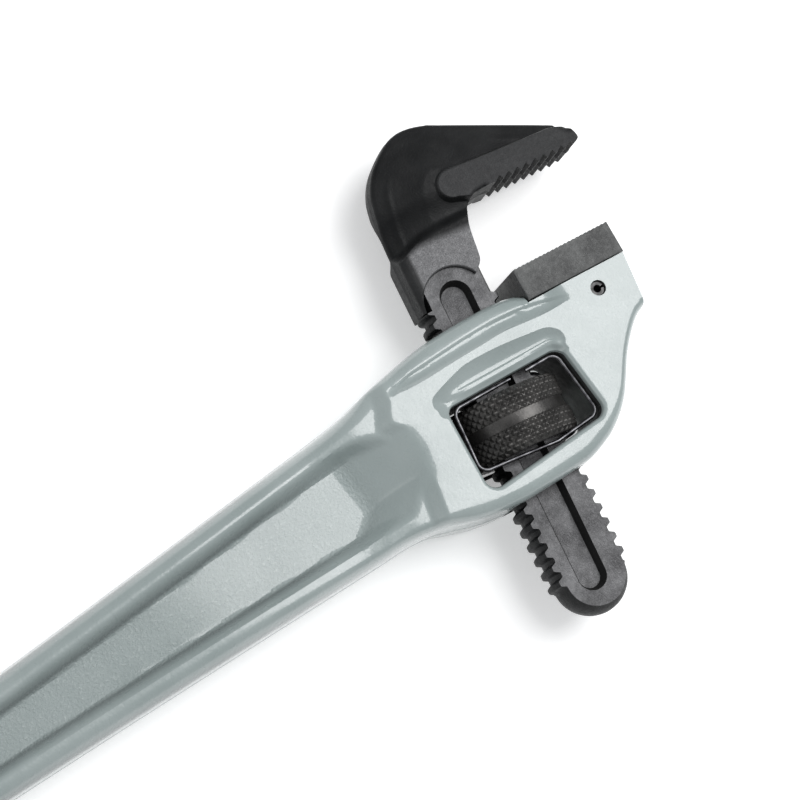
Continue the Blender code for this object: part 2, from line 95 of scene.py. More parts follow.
WINDOW = [(-22.8, -13.3), (21.4, -13.3), (21.0, 11.0), (-19.3, 14.4)]
WINDOW_CORNER = 3.5
FINGER_SCOOP = [(-22.6, 16.6), (-21.9, 18.6), (-19.3, 20.1), (-9.5, 22.1), (-4.8, 22.3), (2.3, 21.6),
                (9.1, 20.5), (15.8, 19.1), (20.8, 17.9), (23.6, 15.6), (24.3, 13.0), (23.0, 10.6),
                (19.0, 8.0), (-18.0, 11.0)]

# ---- sizes of the steel pieces -------------------------------------------------------
THREAD_PITCH = 4.7625
THREAD_TIP = 13.0
THREAD_ROOT = 11.5
THREAD_TOP = 43.0
SHANK_HALF = 6.5
SHANK_END = -51.4
NECK_HALF = 8.0
JAW_PAD_HALF = 9.5
NUT_RADIUS = 17.5
NUT_HALF = 9.3
NUT_CHAMFER = 1.5
NUT_GROOVE_HALF = 1.7
NUT_GROOVE_DEPTH = 0.75
THREAD_PLAY = 0.45
CLEARANCE = 0.4           # between neighbouring pieces
SPRING_CLEARANCE = 0.6
SLOT = (-13.6, 13.6, -40, 50)     # the shank's slot through the head, jaw frame
SLOT_HALF = 8.5
HEEL_HALF_LENGTH = 17.3
HEEL_BOTTOM = -5.3
HEEL_TOP = 5.1
HEEL_HALF = 13.5
HEEL_TEETH = 23
HEEL_TOOTH_DEPTH = 0.2
HEEL_EDGE = 0.35          # softened edges of the heel jaw
TONGUE_HALF = 6.0
TONGUE = (-14.0, -16.0, 10.0, 0.0)
PIN_PLACE = (3.4, -11.9)
PIN_RADIUS = 2.15
PIN_BORE = 2.45
PIN_HALF = 14.0
PIN_INNER = 1.25
PIN_GAP = 14.0            # half the slit of the rolled pin, in degrees
HOOK_TEETH = 9
TOOTH_PITCH = 3.2
TOOTH_DEPTH = 1.3
TEETH_START = (24.85, 69.0)
TEETH_SLOPE = 3.0
ARCH_CENTRE = (-1.1, 40.7)
ARCH_RADIUS = 10.4
HOOK_BACK = [(-12.6, 40.7), (-12.6, 58.6), (-12.2, 70.0), (-11.5, 76.6), (-9.9, 82.3),
             (-6.3, 87.9), (-0.2, 93.2), (4.5, 95.6), (9.5, 96.1), (15.2, 95.1), (19.5, 93.5)]
HOOK_NOSE = [(50.3, 81.0), (53.4, 79.3), (55.2, 77.2), (56.2, 74.6), (56.6, 72.0), (54.6, 70.8)]
HOOK_THROAT = [(22.3, 69.2), (18.6, 68.6), (16.3, 67.2), (14.6, 64.8), (13.0, 60.9),
               (12.2, 56.5), (11.7, 52.2), (10.9, 48.8), (7.9, 45.9)]


# ---- springs, jaw frame --------------------------------------------------------------
SEAT_FRONT = -13.0        # X from which both springs' seats go back into the head
LEAF_BACK = -14.5
LEAF_THICKNESS = 0.8
LEAF_SPAN = (15.5, 31.0)
LEAF_HALF = 4.0
COIL_AT = 24.0
COIL_BACK = -20.75
COIL_LENGTH = 5.0
COIL_RADIUS = 2.5
COIL_WIRE = 0.45
COIL_TURNS = 4
COIL_SEAT_RADIUS = 3.35
COIL_SEAT_DEPTH = 8.6


# ---- curves and fields ---------------------------------------------------------------
def smooth(value):
    """Eased step from 0 to 1 for numbers or arrays."""
    value = np.clip(value, 0.0, 1.0)
    return value * value * (3 - 2 * value)


def smooth_line(points, x):
    """Smooth curve through points, read at one or many x, that does not overshoot them."""
    xs, ys = np.array(points, float).T
    width = np.diff(xs)
    slope = np.diff(ys) / width
    product = slope[:-1] * slope[1:]
    total = np.where(slope[:-1] + slope[1:] == 0, 1.0, slope[:-1] + slope[1:])
    ends = np.concatenate(([slope[0]], np.where(product <= 0, 0.0, 2 * product / total), [slope[-1]]))
    x = np.clip(x, xs[0], xs[-1])
    i = np.clip(np.searchsorted(xs, x) - 1, 0, len(xs) - 2)
    t = (x - xs[i]) / width[i]
    return ((2 * t**3 - 3 * t**2 + 1) * ys[i] + (t**3 - 2 * t**2 + t) * width[i] * ends[i]
            + (3 * t**2 - 2 * t**3) * ys[i + 1] + (t**3 - t**2) * width[i] * ends[i + 1])


def round_curve(points, step):
    """Evenly spaced points along a smooth open curve through points."""
    ctrl = np.array(points, float)
    ctrl = np.vstack((2 * ctrl[0] - ctrl[1], ctrl, 2 * ctrl[-1] - ctrl[-2]))
    out = []
    for a, b, c, d in zip(ctrl, ctrl[1:], ctrl[2:], ctrl[3:]):
        count = max(int(np.linalg.norm(c - b) / step), 1)
        t = np.arange(count)[:, None] / count
        out.append(0.5 * (2 * b + (c - a) * t + (2 * a - 5 * b + 4 * c - d) * t**2
                          + (3 * b - a - 3 * c + d) * t**3))
    out.append(ctrl[-2:-1])
    return np.vstack(out)


def split_edges(loop, step):
    """A closed loop with no side longer than step and no point given twice."""
    loop = np.asarray(loop, float)
    loop = loop[np.linalg.norm(np.roll(loop, -1, axis=0) - loop, axis=1) > 1e-6]
    out = []
    for a, b in zip(loop, np.roll(loop, -1, axis=0)):
        count = max(int(np.ceil(np.linalg.norm(b - a) / step)), 1)
        out.append(a + (b - a) * np.arange(count)[:, None] / count)
    return np.vstack(out)


def rounded_polygon(corners, radius, steps=10):
    """Corners of a convex polygon replaced by arcs."""
    points = []
    count = len(corners)
    for i in range(count):
        corner = Vector(corners[i])
        before = (Vector(corners[i - 1]) - corner).normalized()
        after = (Vector(corners[(i + 1) % count]) - corner).normalized()
        half = before.angle(after) / 2
        centre = corner + (before + after).normalized() * (radius / sin(half))
        start = corner + before * (radius / tan(half)) - centre
        end = corner + after * (radius / tan(half)) - centre
        for k in range(steps + 1):
            mix = start.lerp(end, k / steps).normalized() * radius
            points.append(tuple(centre + mix))
    return points


def box(left, right, low, high):
    return [(left, low), (right, low), (right, high), (left, high)]


def arc(centre, radius, first, last, step):
    """Points round a centre, at angles in whole degrees."""
    return [(centre[0] + radius * cos(radians(a)), centre[1] + radius * sin(radians(a)))
            for a in range(first, last, step)]


def ring_points(centre, radius, count):
    return [(centre[0] + radius * cos(2 * pi * k / count),
             centre[1] + radius * sin(2 * pi * k / count)) for k in range(count)]


def distance(points, line, closed=True):
    """Distance of each point to a polyline."""
    line = np.asarray(line, float)
    starts = line if closed else line[:-1]
    ends = np.roll(line, -1, axis=0) if closed else line[1:]
    best = np.full(len(points), 1e9)
    for a, b in zip(starts, ends):
        side = b - a
        along = np.clip(((points - a) @ side) / max(side @ side, 1e-12), 0, 1)
        gap = points - (a + along[:, None] * side)
        best = np.minimum(best, np.einsum("ij,ij->i", gap, gap))
    return np.sqrt(best)


def inside(points, loop):
    loop = np.asarray(loop, float)
    crossed = np.zeros(len(points), bool)
    x, y = points.T
    for (xa, ya), (xb, yb) in zip(loop, np.roll(loop, -1, axis=0)):
        if ya != yb:
            hit = (ya > y) != (yb > y)
            crossed ^= hit & (x < (xb - xa) * (y - ya) / (yb - ya) + xa)
    return crossed


def signed_inside(points, loop):
    """Distance to a closed loop, positive inside it."""
    return np.where(inside(points, loop), 1.0, -1.0) * distance(points, loop)


def beside(line, gaps):
    """Rows of points along a line at sideways gaps, so that a mesh follows the line."""
    line = np.asarray(line, float)
    ahead = np.gradient(line, axis=0)
    normal = np.stack((-ahead[:, 1], ahead[:, 0]), axis=1)
    normal /= np.linalg.norm(normal, axis=1)[:, None]
    return np.vstack([line + normal * gap for gap in gaps])


def keep_apart(points, others, gap):
    """The points farther than gap from all the others."""
    tree = KDTree(len(others))
    for i, (x, y) in enumerate(others):
        tree.insert((x, y, 0), i)
    tree.balance()
    return points[[tree.find((x, y, 0))[2] > gap for x, y in points]]


def rounded_rise(edge, land, height, reach):
    inward = np.clip(edge / reach, 0, 1)
    return land + (height - land) * np.sqrt(1 - (1 - inward)**2)


# ---- building meshes -----------------------------------------------------------------
def make_object(name, verts, faces, to_world, materials=(), face_slots=None, crease=32):
    mesh = bpy.data.meshes.new(name)
    mesh.from_pydata([tuple(v) for v in verts], [], [tuple(int(i) for i in f) for f in faces])
    mesh.transform(to_world)
    for look in materials:
        mesh.materials.append(look)
    if face_slots is not None:
        mesh.polygons.foreach_set("material_index", np.asarray(face_slots, np.int32))
    made = bpy.data.objects.new(name, mesh)
    bpy.context.scene.collection.objects.link(made)
    bm = bmesh.new()
    bm.from_mesh(mesh)
    bmesh.ops.recalc_face_normals(bm, faces=bm.faces)
    bm.to_mesh(mesh)
    bm.free()
    finish_shading(made, crease)
    return made


def finish_shading(made, crease=32):
    made.data.shade_smooth()
    made.data.set_sharp_from_angle(angle=radians(crease))


def boolean(target, tool, operation):
    """Apply one exact boolean; faces cut by the tool keep the tool's material."""
    step = target.modifiers.new("cut", "BOOLEAN")
    step.operation = operation
    step.object = tool
    step.solver = "EXACT"
    step.material_mode = "TRANSFER"
    bpy.context.view_layer.update()
    ready = target.evaluated_get(bpy.context.evaluated_depsgraph_get())
    mesh = bpy.data.meshes.new_from_object(ready)
    target.modifiers.clear()
    target.data = mesh
    bpy.data.objects.remove(tool, do_unlink=True)


def prism(name, loop, low, high, to_world, look, shrink=0.0):
    """Straight or tapered block over an anticlockwise loop; shrink insets its low end."""
    loop = np.asarray(loop, float)
    count = len(loop)
    ahead = np.roll(loop, -1, axis=0) - np.roll(loop, 1, axis=0)
    inward = np.stack((-ahead[:, 1], ahead[:, 0]), axis=1)
    inward /= np.linalg.norm(inward, axis=1)[:, None]
    lower = loop + inward * shrink
    verts = [(x, y, low) for x, y in lower] + [(x, y, high) for x, y in loop]
    faces = [tuple(range(count))[::-1], tuple(range(count, 2 * count))]
    faces += [(i, (i + 1) % count, count + (i + 1) % count, count + i) for i in range(count)]
    return make_object(name, verts, faces, to_world, [look])


def plate(name, outline, height, to_world, materials, step, rings, holes=(), seam=0.0, creases=None):
    """Closed solid alike above and below z = 0, from an outline and a height over it.

    height(points) gives the half thickness.  holes is a list of (loop, material slot).
    seam is how far the parting line stands proud at mid height.  creases are extra points.
    """
    loops = [split_edges(outline, step)] + [split_edges(loop, step) for loop, _ in holes]
    slots = [0] + [slot for _, slot in holes]
    border = np.vstack(loops)
    inner = []
    for loop in loops:
        ahead = np.roll(loop, -1, axis=0) - np.roll(loop, 1, axis=0)
        normal = np.stack((-ahead[:, 1], ahead[:, 0]), axis=1)
        normal /= np.linalg.norm(normal, axis=1)[:, None]
        probe = inside(loop + normal * 0.05, loop)
        if (probe.mean() > 0.5) != (loop is loops[0]):
            normal = -normal
        for gap in rings:
            moved = loop + normal * gap
            clear = np.min([distance(moved, other) for other in loops], axis=0)
            inner.append(moved[clear > 0.96 * gap])
    low, high = loops[0].min(axis=0), loops[0].max(axis=0)
    grid = np.stack(np.meshgrid(np.arange(low[0], high[0], step), np.arange(low[1], high[1], step)),
                    axis=-1).reshape(-1, 2)
    grid[:, 0] += 0.013 + 0.5 * step * (np.round((grid[:, 1] - low[1]) / step) % 2)
    clear = np.min([distance(grid, loop) for loop in loops], axis=0)
    reach = (rings[-1] if rings else 0) + 0.55 * step
    grid = grid[inside(grid, loops[0]) & (clear > reach)]
    inner = np.vstack(inner)
    if creases is not None:
        clear = np.min([distance(creases, loop) for loop in loops], axis=0)
        creases = creases[inside(creases, loops[0]) & (clear > 0.3)]
        inner = np.vstack((keep_apart(inner, creases, 0.35 * step), creases))
        grid = keep_apart(grid, creases, 0.6 * step)
    points = np.vstack((border, inner, grid))
    edges = []
    first = 0
    for loop in loops:
        edges += [(first + i, first + (i + 1) % len(loop)) for i in range(len(loop))]
        first += len(loop)
    outer = [list(range(len(loops[0])))]
    coords, _, tris, *_ = delaunay_2d_cdt([Vector(p) for p in points], edges, outer, 1, 1e-6)
    coords = np.array([tuple(c) for c in coords])
    tris = np.array(tris)
    centre = coords[tris].mean(axis=1)
    keep = np.ones(len(tris), bool)
    for loop in loops[1:]:
        keep &= ~inside(centre, loop)
    tris = tris[keep]
    used = np.zeros(len(coords), bool)
    used[tris.ravel()] = True
    half = height(coords)
    count = len(coords)
    verts = [np.column_stack((coords, half)), np.column_stack((coords, -half))]
    faces = [tuple(t) for t in tris] + [tuple(t[::-1] + count) for t in tris]
    face_slots = [0] * len(faces)
    total = 2 * count
    first = 0
    for loop, slot in zip(loops, slots):
        size = len(loop)
        rows = [np.arange(first, first + size)]
        proud = seam if slot == 0 else 0.0
        if proud:
            ahead = np.roll(loop, -1, axis=0) - np.roll(loop, 1, axis=0)
            normal = np.stack((ahead[:, 1], -ahead[:, 0]), axis=1)
            normal /= np.linalg.norm(normal, axis=1)[:, None]
            if inside(loop + normal * 0.05, loop).mean() > 0.5:
                normal = -normal
            for level, out in ((0.7, 0.0), (0.0, proud), (-0.7, 0.0)):
                verts.append(np.column_stack((loop + normal * out, np.full(size, level))))
                rows.append(np.arange(total, total + size))
                total += size
        rows.append(np.arange(first + count, first + count + size))
        for upper, lower in zip(rows, rows[1:]):
            for i in range(size):
                j = (i + 1) % size
                faces.append((upper[i], lower[i], lower[j], upper[j]))
                face_slots.append(slot)
        first += size
    verts = np.vstack(verts)
    keep_verts = np.concatenate((used, used, np.ones(len(verts) - 2 * count, bool)))
    renumber = np.cumsum(keep_verts) - 1
    faces = [tuple(renumber[list(f)]) for f in faces]
    return make_object(name, verts[keep_verts], faces, to_world, materials, face_slots)


def tube(name, points, radius, to_world, look, sides=12, closed=False):
    """A round wire through points, swept with a ring that stays square to the path."""
    path = np.asarray(points, float)
    ahead = np.roll(path, -1, axis=0) - np.roll(path, 1, axis=0)
    if not closed:
        ahead[0] = path[1] - path[0]
        ahead[-1] = path[-1] - path[-2]
    verts = []
    side = None
    for point, along in zip(path, ahead):
        along = Vector(along).normalized()
        if side is None:
            side = along.orthogonal().normalized()
        side = (side - along * side.dot(along)).normalized()
        up = along.cross(side)
        for k in range(sides):
            spin = 2 * pi * k / sides
            verts.append(Vector(point) + radius * (side * cos(spin) + up * sin(spin)))
    faces = []
    spans = len(path) if closed else len(path) - 1
    for i in range(spans):
        for k in range(sides):
            a = i * sides + k
            b = i * sides + (k + 1) % sides
            jump = sides if i + 1 < len(path) else -i * sides
            faces.append((a, b, b + jump, a + jump))
    if not closed:
        faces.append(tuple(range(sides))[::-1])
        faces.append(tuple(range(len(verts) - sides, len(verts))))
    return make_object(name, verts, faces, to_world, [look], crease=50)


def stand_in(piece, body, node):
    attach(piece, body)
    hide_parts(node)


# ---- casting -------------------------------------------------------------------------
def bell(value):
    return np.clip(1 - value**2, 0, 1)**2


def ease_line(value, softness=0.05):
    """Straight rise from 0 to 1 with slightly rounded ends."""
    low = np.logaddexp(0, value / softness)
    high = np.logaddexp(0, (value - 1) / softness)
    return softness * (low - high)


def handle_half_width(x):
    slim = smooth_line(HANDLE_HALF_WIDTH, np.maximum(x, HANDLE_HALF_WIDTH[0][0]))
    swell = 1 - smooth((x - END_CENTRE[0]) / (HANDLE_HALF_WIDTH[0][0] - END_CENTRE[0]))
    return slim + (HANDLE_END_RADIUS - slim) * swell


def casting_runs():
    """The cast edge in two open runs from the handle's tip: the lower and the upper one."""
    turn = np.radians(np.arange(180, 90, -4))
    tip = np.column_stack((END_CENTRE[0] + HANDLE_END_RADIUS * np.cos(turn),
                           HANDLE_END_RADIUS * np.sin(turn)))
    xs = np.arange(END_CENTRE[0], UPPER_EDGE[0][0], 2.0)
    side = np.column_stack((xs, handle_half_width(xs)))
    half = np.vstack((tip, side))
    xs = np.append(np.arange(LOWER_EDGE[0][0], LOWER_EDGE[-1][0], 1.0), LOWER_EDGE[-1][0])
    lower = np.column_stack((xs, smooth_line(LOWER_EDGE, xs)))
    xs = np.append(np.arange(UPPER_EDGE[0][0], UPPER_EDGE[-1][0], 1.0), UPPER_EDGE[-1][0])
    upper = np.column_stack((xs, smooth_line(UPPER_EDGE, xs)))
    shift = np.array((0, END_CENTRE[1]))
    return np.vstack((half * (1, -1) + shift, lower)), np.vstack((half + shift, upper))


LOWER_RUN, UPPER_RUN = casting_runs()
WINDOW_LOOP = rounded_polygon(WINDOW, WINDOW_CORNER)

RAMP_FOOT = [(-14, -66), (-3, -62), (1, -56.5), (4, -53.4), (17, -54.0), (30, -54.0)]
RAMP_TOP = [(-13, -38.4), (-5, -36.2), (3, -34.2), (10, -32.6), (16.5, -32.8), (20.5, -35.4),
            (26, -32.6), (31, -31.0)]
TOP_CREST_IN = [(-300, 6.0), (-62, 6.2), (-51, 6.9), (-42, 9.6), (-38, 12.0), (-34, 13.5)]
LOW_CREST_IN = [(-300, 6.2), (-62, 5.8), (-47, 5.4), (-41, 8.6), (-38, 11.0), (-34, 12.5)]
LOW_CREST_OUT = [(-300, 5.0), (-120, 5.0), (-87, 4.1), (-60, 3.5), (-42, 3.0), (-28, 4.5),
                 (15, 4.5), (32, 2.8), (50, 2.5)]

COVE_RIDGE = [(-28, 29.1), (-21, 29.7), (-6.5, 29.6), (1, 29.4), (8, 29.0), (15, 28.1), (22, 26.7),
              (28, 24.6), (34, 21.9)]
COVE_FOOT = [(-32, 26.7), (-22, 25.3), (-7, 24.7), (0.5, 24.3), (8, 24.0), (15, 22.9), (21.5, 21.7),
             (29, 21.0), (34, 20.9)]
COVE_START = -33.0        # X where the cove fades in, and where it fades out
COVE_STOP = 26.0
COVE_FADE = 8.0
COVE_DEPTH = 2.4
COVE_DEEPEST = 0.75       # share of the way from the foot to the ridge
COVE_LAND = 8.0           # half thickness left at the outline
RIDGE_RISE = 0.7
SCOOP_DEPTH = 2.9
SCOOP_REACH = 7.5
CREST_AT = 2.6            # distance of the scoop's crest from the window
CREST_RISE = 0.9
CREST_HALF = 0.45         # half the width of its flat top
CREST_FALL = 1.1          # width of its sides
CREST_FROM = (-18.0, 7.0)     # X and Y beyond which it fades in
CREST_FADE = (9.0, 4.0)


def casting_height(points):
    """Half thickness of the casting: a rounded flange round a thin web, then the head."""
    x, y = points.T
    top = distance(points, UPPER_RUN, closed=False)
    low = distance(points, LOWER_RUN, closed=False)
    near_top = top < low
    edge = np.minimum(top, low)
    along = np.clip((x - END_CENTRE[0]) / (LAND_START - END_CENTRE[0]), 0, 1)
    crest = FLANGE_HALF_FAR + (FLANGE_HALF - FLANGE_HALF_FAR) * along
    crest += FLANGE_SWELL * smooth((x - SWELL_START) / SWELL_RUN)
    foot = smooth_line(RAMP_FOOT, y)
    brow = smooth_line(RAMP_TOP, y)
    web = WEB_HALF + (HEAD_HALF - WEB_HALF) * ease_line((x - foot) / (brow - foot))
    crest += (HEAD_HALF - crest) * ease_line((x - brow + CREST_RUN) / CREST_RUN)
    reach = np.where(near_top, TOP_CREST_OUT, smooth_line(LOW_CREST_OUT, x))
    wall_top = np.where(near_top, smooth_line(TOP_CREST_IN, x), smooth_line(LOW_CREST_IN, x))
    land = FLANGE_LAND + (HEAD_LAND - FLANGE_LAND) * smooth((x - LAND_START) / SWELL_RUN)
    half = rounded_rise(edge, land, crest, reach)
    half += (web - crest) * smooth((edge - wall_top) / WALL_WIDTH)
    boss = rounded_rise(edge, BOSS_HALF - BOSS_ROUND, BOSS_HALF, BOSS_ROUND)
    far = 1 - smooth((x - END_CENTRE[0] - HANDLE_END_RADIUS) / HANDLE_END_RADIUS)
    half += (boss - half) * far
    return head_cove(points, top, half) - head_hollows(points)


def head_cove(points, top, half):
    """The head's long cove: a crisp start, a hollow, a thin ridge, then the rounded edge."""
    x, y = points.T
    ridge = smooth_line(COVE_RIDGE, x)
    foot = smooth_line(COVE_FOOT, x)
    across = (y - foot) / (ridge - foot)
    hollow = HEAD_HALF - COVE_DEPTH * np.sin(np.clip(across / COVE_DEEPEST, 0, 1) * pi / 2)
    hollow += RIDGE_RISE * smooth((across - COVE_DEEPEST) / (1 - COVE_DEEPEST))
    crest = HEAD_HALF - COVE_DEPTH + RIDGE_RISE
    rim = rounded_rise(top, COVE_LAND, crest, smooth_line(UPPER_EDGE, x) - ridge)
    shaped = np.minimum(np.where(across > 1, rim, hollow), half)
    here = smooth((x - COVE_START) / COVE_FADE) * (1 - smooth((x - COVE_STOP) / COVE_FADE))
    return half + (shaped - half) * np.where(across > 0, here, 0)


def head_hollows(points):
    """Depth below the plain head: the rounded window rim, the finger scoop and its crest."""
    x, y = points.T
    out = -signed_inside(points, WINDOW_LOOP)
    lip = np.clip(RIM_ROUND - out, 0, RIM_ROUND)
    depth = RIM_ROUND - np.sqrt(RIM_ROUND**2 - lip**2)
    scoop = signed_inside(points, round_curve(FINGER_SCOOP + FINGER_SCOOP[:1], 1.0)[:-1])
    depth += SCOOP_DEPTH * (1 - (1 - np.clip(scoop / SCOOP_REACH, 0, 1))**2)
    side = smooth((y - CREST_FROM[1]) / CREST_FADE[1]) * smooth((x - CREST_FROM[0]) / CREST_FADE[0])
    crest = 1 - smooth((np.abs(out - CREST_AT) - CREST_HALF) / CREST_FALL)
    depth -= CREST_RISE * crest * side * smooth(scoop / 3)
    return depth


def casting_creases():
    """Points along the casting's inner edges: the cove, the finger scoop and the ramp."""
    xs = np.arange(-32, 33, 0.5)
    foot = np.column_stack((xs, smooth_line(COVE_FOOT, xs)))
    ridge = np.column_stack((xs, smooth_line(COVE_RIDGE, xs)))
    ys = np.arange(-13, 31, 0.6)
    ramp = [np.column_stack((smooth_line(line, ys), ys)) for line in (RAMP_FOOT, RAMP_TOP)]
    scoop = round_curve(FINGER_SCOOP + FINGER_SCOOP[:1], 0.5)[:-1]
    rim = beside(split_edges(WINDOW_LOOP, 0.5), [-CREST_AT + gap for gap in (-0.7, -0.4, 0, 0.4, 0.7)])
    return np.vstack((rim, beside(foot, (-0.4, 0, 0.4)), beside(ridge, (-0.9, -0.4, 0, 0.4)),
                      beside(scoop, (-0.4, 0, 0.4)), beside(ramp[0], (-0.6, 0, 0.6)),
                      beside(ramp[1], (-0.6, 0, 0.6))))


def make_casting(paint, shade):
    outline = np.vstack((LOWER_RUN, [END_FACE_TOP, SEAT_LEFT], UPPER_RUN[:0:-1]))
    # The window's walls (slot 1) and the walls cut by the tools below take the painted-shade material.
    holes = [(WINDOW_LOOP, 1), (ring_points(END_CENTRE, HANG_HOLE_RADIUS, 48), 0)]
    casting = plate("handle_detail", outline, casting_height, DESIGN, [paint, shade], 0.8,
                    (0.35, 0.8, 1.4, 2.1, *np.arange(2.9, 9.4, 0.8)), holes, 0.25, casting_creases())
    left, bottom, right, _ = TONGUE
    tongue = box(left - CLEARANCE, right + CLEARANCE, bottom - CLEARANCE, -5.0)
    leaf = box(LEAF_BACK - SPRING_CLEARANCE, SEAT_FRONT, LEAF_SPAN[0] - SPRING_CLEARANCE,
               LEAF_SPAN[1] + SPRING_CLEARANCE)
    tools = [prism("cut", box(*SLOT), -SLOT_HALF, SLOT_HALF, JAW, shade),
             prism("cut", tongue, -TONGUE_HALF - CLEARANCE, TONGUE_HALF + CLEARANCE, HEEL, shade),
             prism("cut", leaf, -LEAF_HALF - 0.5, LEAF_HALF + 0.5, JAW, shade),
             prism("cut", ring_points(PIN_PLACE, PIN_BORE, 40), -18, 18, HEEL, shade)]
    for tool in tools:
        boolean(casting, tool, "DIFFERENCE")
    coil_seat = Matrix.Translation((SEAT_FRONT, COIL_AT, 0)) @ Matrix.Rotation(radians(-90), 4, "Y")
    ring = ring_points((0, 0), COIL_SEAT_RADIUS, 32)
    boolean(casting, prism("cut", ring, 0, COIL_SEAT_DEPTH, JAW @ coil_seat, shade), "DIFFERENCE")
    finish_shading(casting)
    stand_in(casting, "handle", "handle_casting")


# ---- hook jaw ------------------------------------------------------------------------
def thread_radius(along, angle, tip, root):
    """Radius of a right-hand thread at a place along the axis; angle runs from X to Z."""
    wave = np.clip(1.8 * np.cos(2 * pi * along / THREAD_PITCH + angle), -1, 1)
    return root + (tip - root) * (0.5 + 0.5 * wave)


def shank_mesh(steel):
    """Threaded bar with milled flats and a ball end, closed by a narrow strip."""
    levels = np.linspace(-SHANK_HALF, SHANK_HALF, 9)
    lift = np.arcsin(levels / THREAD_TIP)
    ball = np.sqrt(THREAD_ROOT**2 - levels**2)
    rows = []
    for turn in np.radians(np.arange(88, 0, -6)):
        rows.append((SHANK_END - ball * sin(turn), ball * cos(turn), ball * cos(turn)))
    for along in np.arange(SHANK_END, THREAD_TOP + 12, THREAD_PITCH / 20):
        reach = []
        for angle in (lift, pi - lift):
            radius = np.full(len(levels), THREAD_ROOT)
            if along < THREAD_TOP - THREAD_PITCH / 2:
                radius = thread_radius(along, angle, THREAD_TIP, THREAD_ROOT)
                fade = smooth((along - SHANK_END + 1.0) / 2.0)
                radius = THREAD_ROOT + (radius - THREAD_ROOT) * fade
            reach.append(np.sqrt(radius**2 - levels**2))
        rows.append((np.full(len(levels), along), *reach))
    verts = []
    for along, right, left in rows:
        verts += list(zip(right, along, levels)) + list(zip(-left, along, levels))[::-1]
    size = len(levels)
    ring = 2 * size
    faces = []
    for k in range(len(rows) - 1):
        for i in range(ring):
            j = (i + 1) % ring
            faces.append((k * ring + i, k * ring + j, (k + 1) * ring + j, (k + 1) * ring + i))
    for k in (0, len(rows) - 1):
        for i in range(size - 1):
            faces.append((k * ring + i, k * ring + i + 1, k * ring + ring - 2 - i, k * ring + ring - 1 - i))
    return make_object("hook_jaw_detail", verts, faces, JAW, [steel])


def hook_teeth():
    rise = tan(radians(TEETH_SLOPE))
    points = []
    for k in reversed(range(HOOK_TEETH)):
        start = TEETH_START[0] + k * TOOTH_PITCH
        for offset, depth in ((TOOTH_PITCH, 0.0), (TOOTH_PITCH - 0.3, 0.0), (1.0, TOOTH_DEPTH),
                              (0.7, TOOTH_DEPTH)):
            x = start + offset
            points.append((x, TEETH_START[1] + TOOTH_DEPTH + rise * (x - TEETH_START[0]) - depth))
    return points


HOOK_ARCH = arc(ARCH_CENTRE, ARCH_RADIUS, 36, 181, 6)
PAD_END = arc((13.0, 73.8), 4.7, 270, 89, -12)

PAD_LOOP = [(26.0, 65.0)] + PAD_END + [(49.5, 78.7), (54.5, 77.6), (60.0, 72.0), (58, 64)]
RECESS_TOP = (-0.8, 41.9)     # centres of the round ends of the shank's long recess
RECESS_TOP_RADIUS = 5.4
RECESS_LOW = (-1.0, -51.2)
RECESS_LOW_RADIUS = 4.9
RECESS_DEPTH = 3.2
RECESS_TAPER = 1.5
NECK_TOP = [(-12, 57.5), (-8.8, 58.6), (-2.3, 61.3), (5.2, 62.3), (14, 62.7)]
NECK_FALL = 3.5           # length of the slope from the neck down to the valley
VALLEY_DEPTH = 2.8        # below the crown, at the foot of the jaw pad
VALLEY_TOP = 66.0
CROWN_SLOPE = 0.27        # growth of the crown's half thickness with distance from the back
CROWN_CAP = 8.6
RIB_RISE = 0.35           # faint rib along the back
RIB_AT = 5.0
RIB_HALF = 1.3
RIB_END = 76.0
PAD_WALL = 0.9            # width of the step up to the jaw pad


def hook_height(points):
    """Half thickness of the hook: flat neck, raised jaw pad, and a back that falls away."""
    back = distance(points, round_curve(HOOK_BACK + HOOK_NOSE[:3], 1.0), closed=False)
    flank = distance(points, round_curve(HOOK_THROAT, 1.0), closed=False)
    arch = distance(points, HOOK_ARCH, closed=False)
    pad = signed_inside(points, PAD_LOOP)
    x, y = points.T
    neck = rounded_rise(back, 6.0, NECK_HALF, 2.6)
    crown = np.minimum(rounded_rise(back, 3.4, 4.4, 1.2) + CROWN_SLOPE * back, CROWN_CAP)
    crown -= VALLEY_DEPTH * (1 - smooth((y - VALLEY_TOP) / 10))
    crown += RIB_RISE * bell((back - RIB_AT) / RIB_HALF) * (1 - smooth((y - RIB_END) / 10))
    body = neck + (crown - neck) * smooth((y - smooth_line(NECK_TOP, x)) / NECK_FALL)
    body = np.minimum(body, rounded_rise(flank, NECK_HALF - 1.2, NECK_HALF + 1, 1.4))
    body = np.minimum(body, rounded_rise(arch, NECK_HALF - 1.0, NECK_HALF + 1, 2.4))
    raised = np.minimum(rounded_rise(flank, JAW_PAD_HALF - 1.2, JAW_PAD_HALF, 1.6),
                        rounded_rise(back, 5.5, JAW_PAD_HALF, 3.5))
    return body + (raised - body) * smooth((pad + PAD_WALL / 2) / PAD_WALL)


